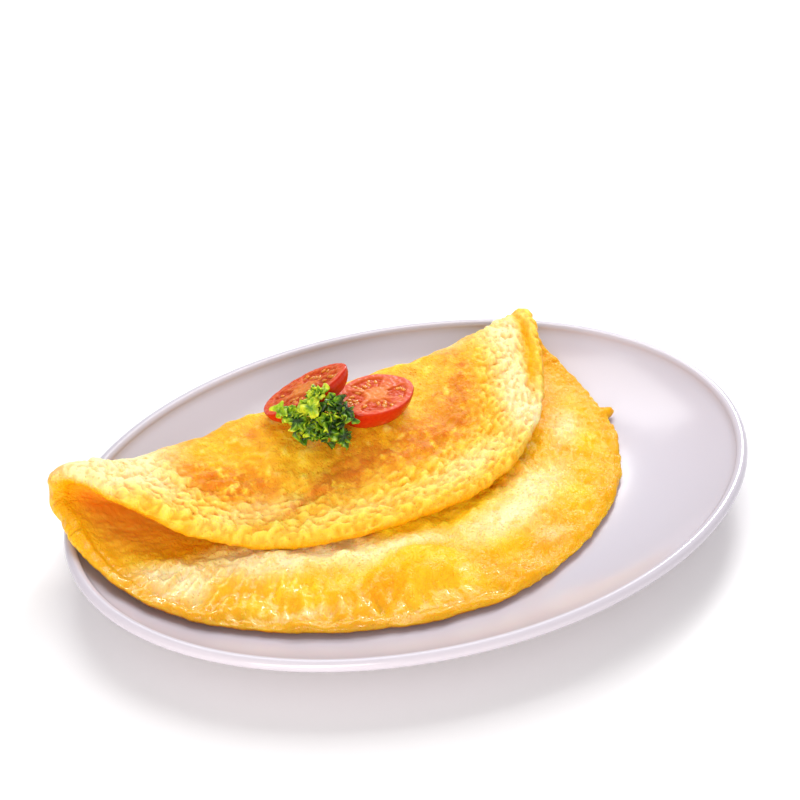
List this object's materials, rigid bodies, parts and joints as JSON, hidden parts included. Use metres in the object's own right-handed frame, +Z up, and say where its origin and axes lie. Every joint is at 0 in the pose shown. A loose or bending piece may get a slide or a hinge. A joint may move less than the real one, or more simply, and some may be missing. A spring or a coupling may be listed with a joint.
{
  "type": "omelette on an oval plate",
  "caption": "Folded egg omelette on an oval coupe plate, garnished with thick tomato slices and a curly parsley sprig on its fold.",
  "frame": {"origin": "middle of the plate's foot ring, at the level it stands on", "axes": "+Z up; +X along the plate's long side and the omelette's fold, towards the end with free plate; +Y towards the fold, at the back"},
  "size_m": [0.27, 0.2046, 0.0597],
  "materials": {
    "porcelain": "gloss",
    "egg": "satin",
    "tomato_left": "gloss",
    "tomato_right": "gloss",
    "parsley": "matte"
  },
  "bodies": {
    "root": {"plate": "porcelain", "omelette": "egg", "tomato_slice_left": "tomato_left", "tomato_slice_right": "tomato_right", "parsley_sprig": "parsley"}
  },
  "joints": []
}
